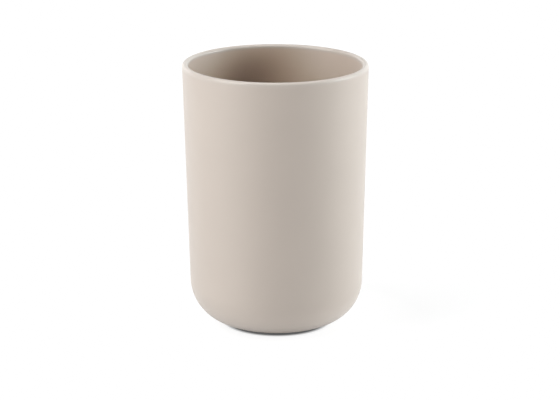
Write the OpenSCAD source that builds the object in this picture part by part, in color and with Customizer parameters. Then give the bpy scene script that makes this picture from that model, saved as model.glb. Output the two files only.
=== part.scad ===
// Bathroom tumbler: one thin moulded shell with a sloping wall, a full-round lip,
// a large corner radius at the base and a low foot ring that it stands on.
// Origin: centre of the foot ring, on the table. +Z is up, along the cup's axis. Millimetres.

/* [Overall] */
// Outside diameter over the lip
rim_d = 75; // [66:0.5:90]
// Height from the table to the top of the lip
height = 103; // [70:1:130]

/* [Shell] */
// Thickness of the moulded wall and of the base
wall = 2.4; // [1.6:0.1:3.2]
// Slope of the wall away from upright, in degrees
draft = 2.1; // [0.5:0.1:4]
// Outside radius where the wall turns into the base
corner_r = 16.4; // [8:0.2:22]

/* [Foot ring] */
// Outside diameter of the foot ring
foot_d = 36; // [28:0.5:44]
// Width of the foot ring where it stands
foot_w = 2.6; // [1.8:0.1:4]
// Height of the foot ring below the base
foot_h = 1; // [0.8:0.1:2]
// Rounding of the foot ring's two lower edges
foot_edge_r = 0.4; // [0.2:0.05:0.6]

/* [Gate mark] */
// Diameter of the shallow dimple under the middle of the base
dimple_d = 7; // [4:0.5:12]
// Depth of the dimple
dimple_depth = 0.5; // [0.2:0.1:0.8]
// Diameter of the nub that the gate leaves inside the dimple
nub_d = 1.8; // [1:0.1:3]
// Height of the nub, which doesn't reach below the base
nub_h = 0.4; // [0.1:0.05:0.6]

/* [Hidden] */
$fn = 96;

// Extra reach of a cut past the face that it opens
overrun = 0.5;
// How far inside an arc a straight face starts, so that the two always meet
tuck = 0.0002;

// The half section is worked out in the plane of radius and height.
// The lip is a half circle as thick as the wall.
lip_r = wall / 2;
lip_mid = [rim_d / 2 - lip_r, height - lip_r];

// Heights of the base, outside and inside
base_z = foot_h;
floor_z = base_z + wall;

// Both corner arcs, outside and inside, turn about one centre,
// placed so that the wall's outer face runs straight from the corner to the lip
corner_mid_z = base_z + corner_r;
corner_mid_r = lip_mid[0] + (lip_r - corner_r) / cos(draft) + (corner_mid_z - lip_mid[1]) * tan(draft);
corner_mid = [corner_mid_r, corner_mid_z];

// Where the wall's straight faces end: at the corner, and at the lip
corner_outer = square_to_wall(corner_mid, corner_r - tuck);
corner_inner = square_to_wall(corner_mid, corner_r - wall - tuck);
lip_outer = square_to_wall(lip_mid, lip_r - tuck);
lip_inner = square_to_wall(lip_mid, tuck - lip_r);

foot_outer_r = foot_d / 2;
foot_inner_r = foot_outer_r - foot_w;

// The point that lies at a distance from a centre, square to the wall
function square_to_wall(centre, distance) = centre + distance * [cos(draft), -sin(draft)];

// Height of the middle of the base's thickness at a radius, along its flat and up its corner
function base_middle_z(radius) = corner_mid_z
    - sqrt(pow(corner_r - wall / 2, 2) - pow(max(0, radius - corner_mid_r), 2));

module corner_quarter(radius) {
    translate(corner_mid) intersection() {
        circle(r = radius);
        translate([0, -radius]) square(radius);
    }
}

// Half section of the cup as if it were full
module full_section() {
    polygon([
        [0, base_z],
        [corner_mid_r, base_z],
        corner_outer,
        lip_outer,
        lip_inner,
        [0, lip_inner[1]]
    ]);
    corner_quarter(corner_r);
}

// Half section of the hollow, open past the lip
module hollow_section() {
    mouth_z = height + overrun;
    polygon([
        [0, floor_z],
        [corner_mid_r, floor_z],
        corner_inner,
        lip_inner,
        [lip_inner[0], mouth_z],
        [0, mouth_z]
    ]);
    corner_quarter(corner_r - wall);
}

module shell_section() {
    difference() {
        full_section();
        hollow_section();
    }
    translate(lip_mid) circle(r = lip_r);
}

// The foot ring's straight sides run up into the base, and its lower edges are round
module foot_section() {
    polygon([
        [foot_inner_r, foot_edge_r],
        [foot_outer_r, foot_edge_r],
        [foot_outer_r, base_middle_z(foot_outer_r)],
        [foot_inner_r, base_middle_z(foot_inner_r)]
    ]);
    translate([foot_inner_r + foot_edge_r, 0]) square([foot_w - 2 * foot_edge_r, base_z]);
    for (edge_mid_r = [foot_inner_r + foot_edge_r, foot_outer_r - foot_edge_r])
        translate([edge_mid_r, foot_edge_r]) circle(r = foot_edge_r);
}

// Cut for the dimple in the underside, which leaves the gate's nub standing in it
module gate_dimple() {
    difference() {
        translate([0, 0, base_z - overrun]) cylinder(d = dimple_d, h = overrun + dimple_depth);
        translate([0, 0, base_z + dimple_depth - nub_h]) cylinder(d = nub_d, h = nub_h + overrun);
    }
}

module tumbler_body() {
    color([0.78, 0.73, 0.68]) difference() {
        rotate_extrude() {
            shell_section();
            foot_section();
        }
        gate_dimple();
    }
}

tumbler_body();
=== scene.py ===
import bpy
import math
from mathutils import Matrix, Vector


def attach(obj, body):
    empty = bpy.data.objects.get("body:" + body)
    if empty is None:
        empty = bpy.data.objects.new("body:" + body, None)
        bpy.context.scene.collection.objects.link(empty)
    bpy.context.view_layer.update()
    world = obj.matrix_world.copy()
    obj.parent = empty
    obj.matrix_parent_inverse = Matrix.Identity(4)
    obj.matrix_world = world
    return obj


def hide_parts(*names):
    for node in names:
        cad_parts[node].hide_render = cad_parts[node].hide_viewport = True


# A bathroom tumbler: one moulding, turned from its half section by a Geometry Nodes tree,
# in a matte moulded plastic, on a pale light table with softboxes round it

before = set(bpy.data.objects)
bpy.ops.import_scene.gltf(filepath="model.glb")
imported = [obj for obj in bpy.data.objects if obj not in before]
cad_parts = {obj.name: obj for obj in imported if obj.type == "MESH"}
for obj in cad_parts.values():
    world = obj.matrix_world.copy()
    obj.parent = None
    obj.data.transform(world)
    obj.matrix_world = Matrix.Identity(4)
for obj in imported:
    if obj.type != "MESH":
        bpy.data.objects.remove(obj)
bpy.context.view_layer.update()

MM = 0.001

# Outline of the moulding, in millimetres
CUP = {
    "Rim radius": 37.5,
    "Height": 103.0,
    "Wall": 2.4,
    "Corner radius": 16.4,
    "Foot radius": 18.0,
    "Foot width": 2.6,
    "Foot height": 1.0,
    "Foot edge": 0.4,
    "Dimple radius": 3.5,
    "Dimple depth": 0.5,
    "Nub radius": 0.9,
    "Nub height": 0.4,
}
DRAFT = math.radians(2.1)
# Roundings too small for a size of their own: on the dimple and the nub, as a share of the nub's
# radius, and where the foot's inner side meets the base, as a share of the foot's edge
NUB_ROUND_SHARE = 0.15
FOOT_TOP_ROUND_SHARE = 0.4
# Distance from a rounding to the nearest extra point on the straight beside it, as a share of the wall
GUARD_SHARE = 0.35
# Points closer than this, in metres, are one
SAME_POINT = 1e-6
# Steps of the turning, and of each rounding
TURN_STEPS = 240
CORNER_STEPS = 30
LIP_STEPS = 14
EDGE_STEPS = 5
FINE_STEPS = 3


class Size:
    """A number on its way through a tree: each sum done with it adds a Math node."""

    def __init__(self, tree, socket):
        self.tree, self.socket = tree, socket

    def _math(self, operation, *others):
        node = self.tree.nodes.new("ShaderNodeMath")
        node.operation = operation
        for slot, value in zip(node.inputs, (self, *others)):
            plug(self.tree, value, slot)
        return Size(self.tree, node.outputs[0])

    def __add__(self, other):
        return self._math("ADD", other)

    def __sub__(self, other):
        return self._math("SUBTRACT", other)

    def __mul__(self, other):
        return self._math("MULTIPLY", other)

    def __truediv__(self, other):
        return self._math("DIVIDE", other)

    def __neg__(self):
        return self._math("MULTIPLY", -1.0)

    def least(self, other):
        return self._math("MINIMUM", other)

    def sin(self):
        return self._math("SINE")

    def cos(self):
        return self._math("COSINE")

    def tan(self):
        return self._math("TANGENT")


def plug(tree, value, slot):
    """Links a socket or sets a plain value on an input."""
    if isinstance(value, Size):
        tree.links.new(value.socket, slot)
    elif isinstance(value, bpy.types.NodeSocket):
        tree.links.new(value, slot)
    else:
        slot.default_value = value


def step(tree, kind, settings=None, **inputs):
    """Adds a node, with its settings and its inputs, and hands it back."""
    node = tree.nodes.new(kind)
    for name, value in (settings or {}).items():
        setattr(node, name, value)
    for name, value in inputs.items():
        plug(tree, value, node.inputs[name.replace("_", " ")])
    return node


def pick(tree, index, values, data_type="FLOAT"):
    """One value for each point of a line, chosen by the point's number."""
    node = tree.nodes.new("GeometryNodeIndexSwitch")
    node.data_type = data_type
    while len(node.index_switch_items) < len(values):
        node.index_switch_items.new()
    plug(tree, index, node.inputs[0])
    for slot, value in zip(list(node.inputs)[1:], values):
        plug(tree, value, slot)
    return node.outputs[0]


def cup_section(size):
    """The corners of the half section, from the middle of the underside, out, up, over the lip and
    down the inside to the middle of the floor: radius, height, rounding, steps of the rounding,
    whether the corner is on the inside of the cup, and how much it is rubbed in use, which also sets a
    painted highlight along the lip."""
    rim, height, wall, draft = size["Rim radius"], size["Height"], size["Wall"], size["Draft"]
    corner, foot, foot_width = size["Corner radius"], size["Foot radius"], size["Foot width"]
    base, edge = size["Foot height"], size["Foot edge"]
    dimple, nub = size["Dimple radius"], size["Nub radius"]
    dimple_top = base + size["Dimple depth"]
    nub_tip = dimple_top - size["Nub height"]
    lip = wall / 2
    cosine, slope = draft.cos(), draft.tan()

    # Both corner roundings turn about one centre, which the wall's slope puts in its place
    lip_r, lip_z = rim - lip, height - lip
    mid_z = base + corner
    mid_r = lip_r + (lip - corner) / cosine + (mid_z - lip_z) * slope
    inner_corner = corner - wall
    floor = base + wall

    # How far a wall's end runs on to where it would meet a level line: past a rounding that turns less
    # than square, and past one that turns more
    short_turn = (draft * -0.5 + math.pi / 4).tan()
    long_turn = (draft * 0.5 + math.pi / 4).tan()
    fine = nub * NUB_ROUND_SHARE
    # Points on the straight stretches, close to the roundings, keep the shading of the wall true
    guard = wall * GUARD_SHARE

    def on_wall(side, z):
        return lip_r + side / cosine + (z - lip_z) * slope

    high_guard = lip_z - guard - draft.sin() * lip
    low_guard = mid_z + guard
    return [
        (0.0, nub_tip, 0.0, 1, 0.0, 0.0),
        (nub, nub_tip, fine, FINE_STEPS, 0.0, 0.0),
        (nub, dimple_top, fine, FINE_STEPS, 0.0, 0.0),
        (dimple, dimple_top, fine, FINE_STEPS, 0.0, 0.0),
        (dimple, base, fine, FINE_STEPS, 0.0, 0.0),
        (foot - foot_width - guard, base, 0.0, 1, 0.0, 0.0),
        (foot - foot_width, base, edge * FOOT_TOP_ROUND_SHARE, FINE_STEPS, 0.0, 0.0),
        (foot - foot_width, 0.0, edge, EDGE_STEPS, 0.0, 1.0),
        (foot, 0.0, edge, EDGE_STEPS, 0.0, 1.0),
        (foot.least(mid_r), base, 0.0, 1, 0.0, 0.0),
        (mid_r + corner * short_turn, base, corner, CORNER_STEPS, 0.0, 0.0),
        (on_wall(lip, low_guard), low_guard, 0.0, 1, 0.0, 0.0),
        (on_wall(lip, high_guard), high_guard, 0.0, 1, 0.0, 0.0),
        (lip_r + lip * long_turn, height, lip, LIP_STEPS, 0.0, 1.0),
        (lip_r - lip * short_turn, height, lip, LIP_STEPS, 0.0, 1.0),
        (on_wall(-lip, high_guard), high_guard, 0.0, 1, 1.0, 0.0),
        (on_wall(-lip, low_guard), low_guard, 0.0, 1, 1.0, 0.0),
        (mid_r + inner_corner * short_turn, floor, inner_corner, CORNER_STEPS, 1.0, 0.0),
        (mid_r - guard, floor, 0.0, 1, 1.0, 0.0),
        (0.0, floor, 0.0, 1, 1.0, 0.0),
    ]


def turned_cup_tree():
    """A cup turned from its half section, with every size an input of the tree."""
    tree = bpy.data.node_groups.new("Turned cup", "GeometryNodeTree")
    face = tree.interface
    for name in [*CUP, "Draft"]:
        face.new_socket(name, in_out="INPUT", socket_type="NodeSocketFloat")
    face.new_socket("Turn steps", in_out="INPUT", socket_type="NodeSocketInt")
    face.new_socket("Plastic", in_out="INPUT", socket_type="NodeSocketMaterial")
    face.new_socket("Cup", in_out="OUTPUT", socket_type="NodeSocketGeometry")
    given = tree.nodes.new("NodeGroupInput").outputs
    size = {name: Size(tree, given[name]) for name in [*CUP, "Draft"]}

    # The half section: a line of corners, put in their places and rounded
    corners = cup_section(size)
    number = step(tree, "GeometryNodeInputIndex").outputs[0]
    radii, heights, roundings, steps, inside, wear_and_lip_highlight = zip(*corners)
    place = step(tree, "ShaderNodeCombineXYZ", X=pick(tree, number, radii), Z=pick(tree, number, heights))
    line = step(tree, "GeometryNodeMeshLine", Count=len(corners))
    line = step(tree, "GeometryNodeSetPosition", Geometry=line.outputs[0], Position=place.outputs[0])
    finish = {"inside": inside, "wear_and_lip_highlight": wear_and_lip_highlight}
    for name, amounts in finish.items():
        line = step(tree, "GeometryNodeStoreNamedAttribute", {"data_type": "FLOAT", "domain": "POINT"},
                    Geometry=line.outputs[0], Name=name, Value=pick(tree, number, amounts))
    line = step(tree, "GeometryNodeMeshToCurve", Mesh=line.outputs[0])
    line = step(tree, "GeometryNodeFilletCurve", {"mode": "POLY"}, Curve=line.outputs[0],
                Count=pick(tree, number, steps, "INT"), Radius=pick(tree, number, roundings))
    section = line.outputs[0]

    # The turning: a grid with one row for each point of the section, wrapped round the axis
    points = step(tree, "GeometryNodeAttributeDomainSize", {"component": "CURVE"}, Geometry=section)
    columns = step(tree, "FunctionNodeIntegerMath", {"operation": "ADD"})
    plug(tree, given["Turn steps"], columns.inputs[0])
    plug(tree, 1, columns.inputs[1])
    grid = step(tree, "GeometryNodeMeshGrid", Vertices_X=points.outputs["Point Count"],
                Vertices_Y=columns.outputs[0])
    row = step(tree, "FunctionNodeIntegerMath", {"operation": "DIVIDE_FLOOR"})
    column = step(tree, "FunctionNodeIntegerMath", {"operation": "FLOORED_MODULO"})
    for node in (row, column):
        plug(tree, number, node.inputs[0])
        plug(tree, columns.outputs[0], node.inputs[1])
    where = step(tree, "GeometryNodeSampleIndex", {"data_type": "FLOAT_VECTOR", "domain": "POINT"},
                 Geometry=section, Value=step(tree, "GeometryNodeInputPosition").outputs[0],
                 Index=row.outputs[0])
    parts = step(tree, "ShaderNodeSeparateXYZ", Vector=where.outputs[0])
    radius = Size(tree, parts.outputs["X"])
    angle = Size(tree, column.outputs[0]) * math.tau / Size(tree, given["Turn steps"])
    wrapped = step(tree, "ShaderNodeCombineXYZ", X=radius * angle.cos(), Y=radius * angle.sin(),
                   Z=parts.outputs["Z"])
    cup = grid
    for name in finish:
        amount = step(tree, "GeometryNodeInputNamedAttribute", {"data_type": "FLOAT"}, Name=name)
        amount = step(tree, "GeometryNodeSampleIndex", {"data_type": "FLOAT", "domain": "POINT"},
                      Geometry=section, Value=amount.outputs[0], Index=row.outputs[0])
        cup = step(tree, "GeometryNodeStoreNamedAttribute", {"data_type": "FLOAT", "domain": "POINT"},
                   Geometry=cup.outputs[0], Name=name, Value=amount.outputs[0])
    cup = step(tree, "GeometryNodeSetPosition", Geometry=cup.outputs[0], Position=wrapped.outputs[0])
    # The seam and both poles are closed, and the faces point out of the plastic
    cup = step(tree, "GeometryNodeMergeByDistance", Geometry=cup.outputs[0], Distance=SAME_POINT)
    cup = step(tree, "GeometryNodeFlipFaces", Mesh=cup.outputs[0])
    cup = step(tree, "GeometryNodeSetShadeSmooth", Geometry=cup.outputs[0])
    cup = step(tree, "GeometryNodeRealizeInstances", Geometry=cup.outputs[0])
    cup = step(tree, "GeometryNodeSetMaterial", Geometry=cup.outputs[0], Material=given["Plastic"])
    plug(tree, cup.outputs[0], tree.nodes.new("NodeGroupOutput").inputs["Cup"])
    return tree


def make_cup(plastic):
    tree = turned_cup_tree()
    blank = bpy.data.objects.new("blank", bpy.data.meshes.new("blank"))
    bpy.context.scene.collection.objects.link(blank)
    turning = blank.modifiers.new("Turning", "NODES")
    turning.node_group = tree
    values = {name: value * MM for name, value in CUP.items()}
    values.update({"Draft": DRAFT, "Turn steps": TURN_STEPS, "Plastic": plastic})
    for item in tree.interface.items_tree:
        if item.in_out == "INPUT":
            turning[item.identifier] = values[item.name]
    mesh = bpy.data.meshes.new_from_object(blank.evaluated_get(bpy.context.evaluated_depsgraph_get()))
    bpy.data.objects.remove(blank)
    # The first slot is the grid's own, and empty
    mesh.materials.pop(index=0)
    cup = bpy.data.objects.new("tumbler", mesh)
    mesh.name = "tumbler"
    bpy.context.scene.collection.objects.link(cup)
    return cup


def spread(tree, value, low, high, least, most):
    """Maps a stretch of values, low to high, onto another, and keeps within it."""
    return step(tree, "ShaderNodeMapRange", Value=value, From_Min=low, From_Max=high, To_Min=least,
                To_Max=most).outputs[0]


# The Mix node's sockets for colours, by number, because its sockets for each kind share their names
MIX_SHARE, MIX_FIRST, MIX_SECOND = 0, 6, 7
MIX_RESULT = 2


def blend(tree, share, first, second):
    """Mixes two colours."""
    node = step(tree, "ShaderNodeMix", {"data_type": "RGBA"})
    for number, value in ((MIX_SHARE, share), (MIX_FIRST, first), (MIX_SECOND, second)):
        plug(tree, value, node.inputs[number])
    return node.outputs[MIX_RESULT]


def cloud(tree, scale, detail, roughness):
    """Soft noise in three dimensions, so many waves to the metre."""
    here = tree.nodes.new("ShaderNodeTexCoord").outputs["Object"]
    return step(tree, "ShaderNodeTexNoise", Vector=here, Scale=scale, Detail=detail,
                Roughness=roughness).outputs[0]


# The plastic's tones, each between a deeper and a paler one: outside, and inside with a warmer painted
# shade colour, and the paler tone that rubbing and a painted lip highlight lead to
OUTER_TONES = [(0.429, 0.375, 0.331, 1.0), (0.458, 0.401, 0.353, 1.0)]
INSIDE_SHADE_TONES = [(0.452, 0.378, 0.319, 1.0), (0.483, 0.403, 0.341, 1.0)]
# The paler tone: wear on the foot and the lip, and along the lip a painted highlight as well
WEAR_AND_HIGHLIGHT_TONE = (0.46, 0.43, 0.40, 1.0)
# How far rubbing and the painted lip highlight take the tone, and how much smoother rubbing leaves the
# surface
WEAR_AND_HIGHLIGHT_SHARE = 0.3
RUBBED_SMOOTHING = 0.12
# The roughness of the moulded skin, between its smoothest and its roughest places
ROUGHNESS_RANGE = (0.46, 0.56)
REFRACTIVE_INDEX = 1.49
SHEEN = 0.2
SHEEN_ROUGHNESS = 0.5
# Soft noise for the pigment, the handling marks and the grain: waves to the metre, detail, and the
# strength of that detail
PIGMENT_CLOUDS = (45.0, 3.0, 0.45)
HANDLING_MARKS = (130.0, 4.0, 0.6)
GRAIN_PITS = (4200.0, 2.0, 0.5)
# The stretch of the marks' noise over which the roughness changes
MARKS_STRETCH = (0.3, 0.7)
# How deep the grain is, in metres, and how strongly it shows
GRAIN_DEPTH = 0.00004
GRAIN_STRENGTH = 0.25


def moulded_plastic():
    """Matte taupe moulded plastic: a fine spark-eroded grain, with a little unevenness in its tone
    and its shine."""
    plastic = bpy.data.materials.new("matte taupe plastic")
    plastic.use_nodes = True
    tree = plastic.node_tree
    shader = tree.nodes["Principled BSDF"]
    shader.inputs["IOR"].default_value = REFRACTIVE_INDEX
    shader.inputs["Sheen Weight"].default_value = SHEEN
    shader.inputs["Sheen Roughness"].default_value = SHEEN_ROUGHNESS
    inside = step(tree, "ShaderNodeAttribute", {"attribute_name": "inside"}).outputs["Fac"]
    wear_and_lip_highlight = Size(tree, step(tree, "ShaderNodeAttribute", {"attribute_name": "wear_and_lip_highlight"}).outputs["Fac"])

    # Tone: the pigment lies a trifle unevenly, in soft clouds about as wide as a thumb,
    # the inside is a shade warmer, a painted shade colour for the shaded inside of the cup, and the lip
    # and the foot are a little paler, from rubbing, with a painted highlight along the lip
    pigment = cloud(tree, *PIGMENT_CLOUDS)
    tone = blend(tree, inside, blend(tree, pigment, *OUTER_TONES), blend(tree, pigment, *INSIDE_SHADE_TONES))
    # Paler where rubbed: wear, and along the lip a painted highlight
    plug(tree, blend(tree, wear_and_lip_highlight * WEAR_AND_HIGHLIGHT_SHARE, tone, WEAR_AND_HIGHLIGHT_TONE), shader.inputs["Base Color"])

    # Shine: matte, with handling marks that are slightly smoother, and a lip and foot that are
    # rubbed smoother still
    marks = cloud(tree, *HANDLING_MARKS)
    matte = Size(tree, spread(tree, marks, *MARKS_STRETCH, *ROUGHNESS_RANGE))
    plug(tree, matte - wear_and_lip_highlight * RUBBED_SMOOTHING, shader.inputs["Roughness"])

    # Grain: the mould's spark-eroded skin, about four pits to the millimetre
    pits = cloud(tree, *GRAIN_PITS)
    grain = step(tree, "ShaderNodeBump", Strength=GRAIN_STRENGTH, Distance=GRAIN_DEPTH, Height=pits)
    plug(tree, grain.outputs[0], shader.inputs["Normal"])
    return plastic


# Light from below, in parts that add up, by distance from the cup's axis in metres: where a part
# starts to change, where it has changed, and its strength before and after. The table that is seen
# is white right up to the foot, with a dark spot under the foot painted as the contact shadow and extra
# glow close round the cup painted to fill the cup's shadow;
# the one that lights the cup is dimmer round the foot, a painted shadow of the cup on the table
SEEN_GLOW_AND_PAINTED_SHADOW = [
    (0.0198, 0.022, 0.12, 0.9),
    (0.024, 0.06, 0.0, -0.1),
    (0.3, 1.1, 0.0, 0.15),
]
SHADED_GLOW = [
    (0.0198, 0.034, 0.075, 0.84),
    (0.3, 1.1, 0.0, 0.15),
]
TABLE_TONE = (0.15, 0.15, 0.15, 1.0)
TABLE_GLOW_TONE = (1.0, 1.0, 1.0, 1.0)
TABLE_ROUGHNESS = 0.8
TABLE_SPECULAR = 0.2


def light_table(rises):
    """A white acrylic table, glowing from below by distance from the cup's axis, with a dim spot under
    the cup painted as the cup's shadow, so that the shadow stays faint and still closes in dark round the
    foot."""
    table = bpy.data.materials.new("light table")
    table.use_nodes = True
    tree = table.node_tree
    shader = tree.nodes["Principled BSDF"]
    shader.inputs["Base Color"].default_value = TABLE_TONE
    shader.inputs["Roughness"].default_value = TABLE_ROUGHNESS
    shader.inputs["Specular IOR Level"].default_value = TABLE_SPECULAR
    shader.inputs["Emission Color"].default_value = TABLE_GLOW_TONE
    away = step(tree, "ShaderNodeVectorMath", {"operation": "LENGTH"})
    plug(tree, tree.nodes.new("ShaderNodeTexCoord").outputs["Object"], away.inputs[0])
    # The dim spot in this glow round the foot is a painted shadow of the cup
    glow, *more = [Size(tree, spread(tree, away.outputs["Value"], *rise)) for rise in rises]
    for part in more:
        glow = glow + part
    plug(tree, glow, shader.inputs["Emission Strength"])
    return table


IMAGE_WIDTH, IMAGE_HEIGHT = 560, 400
SENSOR = 36.0
# Where the photograph was taken from: its distance and height angle, the turn and the tilt of its upright
# picture plane, its scale at the cup, and the pixel at which it shows the middle of the cup's axis
CAMERA_DISTANCE = 1.0745
CAMERA_RISE = math.radians(14.799)
PLANE_TURN = math.radians(1.455)
PLANE_TILT = math.radians(-0.248)
PIXELS_PER_METRE = 2490.0
MIDDLE_PIXEL = Vector((275.836, 191.002))
NEAREST_SEEN, FARTHEST_SEEN = 0.05, 20.0


def make_camera():
    """A camera whose picture plane stands upright while it looks down, as in a picture with its
    verticals put straight: the leaning back is in the tripod's matrix, so the lens has no shift."""
    middle = Vector((0.0, 0.0, CUP["Height"] * MM / 2))
    eye = middle + CAMERA_DISTANCE * Vector((0.0, -math.cos(CAMERA_RISE), math.sin(CAMERA_RISE)))
    level = Vector((math.cos(PLANE_TURN), math.sin(PLANE_TURN), 0.0))
    upright = Vector((0.0, 0.0, 1.0))
    across = level * math.cos(PLANE_TILT) + upright * math.sin(PLANE_TILT)
    up = upright * math.cos(PLANE_TILT) - level * math.sin(PLANE_TILT)

    # The point in the plane of the cup's middle that the picture's centre shows
    off = Vector((IMAGE_WIDTH / 2, IMAGE_HEIGHT / 2)) - MIDDLE_PIXEL
    aim = middle + (across * off.x - up * off.y) / PIXELS_PER_METRE
    back = (eye - aim).normalized()

    camera = bpy.data.cameras.new("camera")
    camera.sensor_fit = "HORIZONTAL"
    camera.sensor_width = SENSOR
    camera.lens = PIXELS_PER_METRE * (eye - aim).length / IMAGE_WIDTH * SENSOR
    camera.clip_start, camera.clip_end = NEAREST_SEEN, FARTHEST_SEEN
    seen = bpy.data.objects.new("camera", camera)
    tripod = bpy.data.objects.new("tripod", None)
    for thing in (seen, tripod):
        bpy.context.scene.collection.objects.link(thing)
    seen.parent = tripod
    seen.matrix_parent_inverse = Matrix((
        (across.x, up.x, back.x, eye.x),
        (across.y, up.y, back.y, eye.y),
        (across.z, up.z, back.z, eye.z),
        (0.0, 0.0, 0.0, 1.0),
    ))
    bpy.context.scene.camera = seen


FLOOR_RADIUS = 1.3
FLOOR_SIDES = 96
# How far the table that lights the cup lies below the one that is seen, in metres
TABLE_GAP = 0.0002


def make_table(name, height, rises):
    turns = [math.tau * side / FLOOR_SIDES for side in range(FLOOR_SIDES)]
    rim = [(FLOOR_RADIUS * math.cos(turn), FLOOR_RADIUS * math.sin(turn), height) for turn in turns]
    mesh = bpy.data.meshes.new(name)
    mesh.from_pydata(rim, [], [tuple(range(FLOOR_SIDES))])
    mesh.materials.append(light_table(rises))
    table = bpy.data.objects.new(name, mesh)
    bpy.context.scene.collection.objects.link(table)
    return table


def make_floor():
    """The table twice over: one that is only seen, and just under it one that only lights the cup."""
    seen = make_table("floor", 0.0, SEEN_GLOW_AND_PAINTED_SHADOW)
    seen.visible_diffuse = False
    seen.visible_glossy = False
    seen.visible_transmission = False
    seen.visible_shadow = False
    shaded = make_table("shaded_floor", -TABLE_GAP, SHADED_GLOW)
    shaded.visible_camera = False


# Softboxes: turn round the cup (0 is the camera's side, 90 the right), height angle, power in watts
SOFTBOXES = [
    (90, 15, 12.8),
    (-60, 15, 7.3),
    (-60, 45, 5.6),
    (-90, 72, 4.9),
    (0, 90, 3.5),
    (-150, 15, 2.5),
    (150, 15, 2.3),
    (120, 45, 2.0),
    (120, 15, 2.0),
    (-90, 45, 1.6),
    (180, 15, 0.8),
]
# The boxes on the right are a touch cooler than the others
RIGHT_TINT = (0.975, 1.012, 1.02)
SOFTBOX_SIDE = 0.6
SOFTBOX_DISTANCE = 1.2
# The room round the table: how high, as the sine of an angle, its pale and its dim part begin,
# and the brightness of each
PALE_ROOM = (0.025, 1.0)
DIM_ROOM = (0.09, 0.05)


def make_lights():
    aim = Vector((0.0, 0.0, CUP["Height"] * MM / 2))
    for turn, rise, power in SOFTBOXES:
        light = bpy.data.lights.new("softbox", "AREA")
        light.shape = "RECTANGLE"
        light.size = light.size_y = SOFTBOX_SIDE
        light.energy = power
        if turn > 0:
            light.color = RIGHT_TINT
        box = bpy.data.objects.new("softbox", light)
        bpy.context.scene.collection.objects.link(box)
        azimuth, elevation = math.radians(turn), math.radians(rise)
        away = Vector((math.sin(azimuth) * math.cos(elevation), -math.cos(azimuth) * math.cos(elevation),
                       math.sin(elevation)))
        box.location = aim + away * SOFTBOX_DISTANCE
        box.rotation_euler = (-away).to_track_quat("-Z", "Y").to_euler()
        box.visible_camera = False

    room = bpy.data.worlds.new("studio")
    bpy.context.scene.world = room
    room.use_nodes = True
    tree = room.node_tree
    # Pale all round at the horizon, and dim overhead
    ahead = tree.nodes.new("ShaderNodeTexCoord").outputs["Generated"]
    height = step(tree, "ShaderNodeSeparateXYZ", Vector=ahead).outputs["Z"]
    fade = step(tree, "ShaderNodeValToRGB", Fac=height)
    for end, (start, brightness) in zip(fade.color_ramp.elements, (PALE_ROOM, DIM_ROOM)):
        end.position = start
        end.color = (brightness, brightness, brightness, 1.0)
    plug(tree, fade.outputs[0], tree.nodes["Background"].inputs["Color"])


# The photograph's contrast: a scene tone and the tone that it is shown at, deeper in the darks
PICTURE_TONES = [(0.064, 0.0395), (0.13, 0.0945), (0.203, 0.178), (0.30, 0.2955), (0.42, 0.42)]
# The curve that acts on red, green and blue alike
COMMON_CURVE = 3


def set_picture_tones():
    shown = bpy.context.scene.view_settings
    shown.view_transform = "Standard"
    shown.use_curve_mapping = True
    tones = shown.curve_mapping
    tones.extend = "HORIZONTAL"
    for level, result in PICTURE_TONES:
        tones.curves[COMMON_CURVE].points.new(level, result)
    tones.update()


set_picture_tones()
make_camera()
make_floor()
make_lights()
cup = make_cup(moulded_plastic())
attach(cup, "root")
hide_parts("tumbler_body")
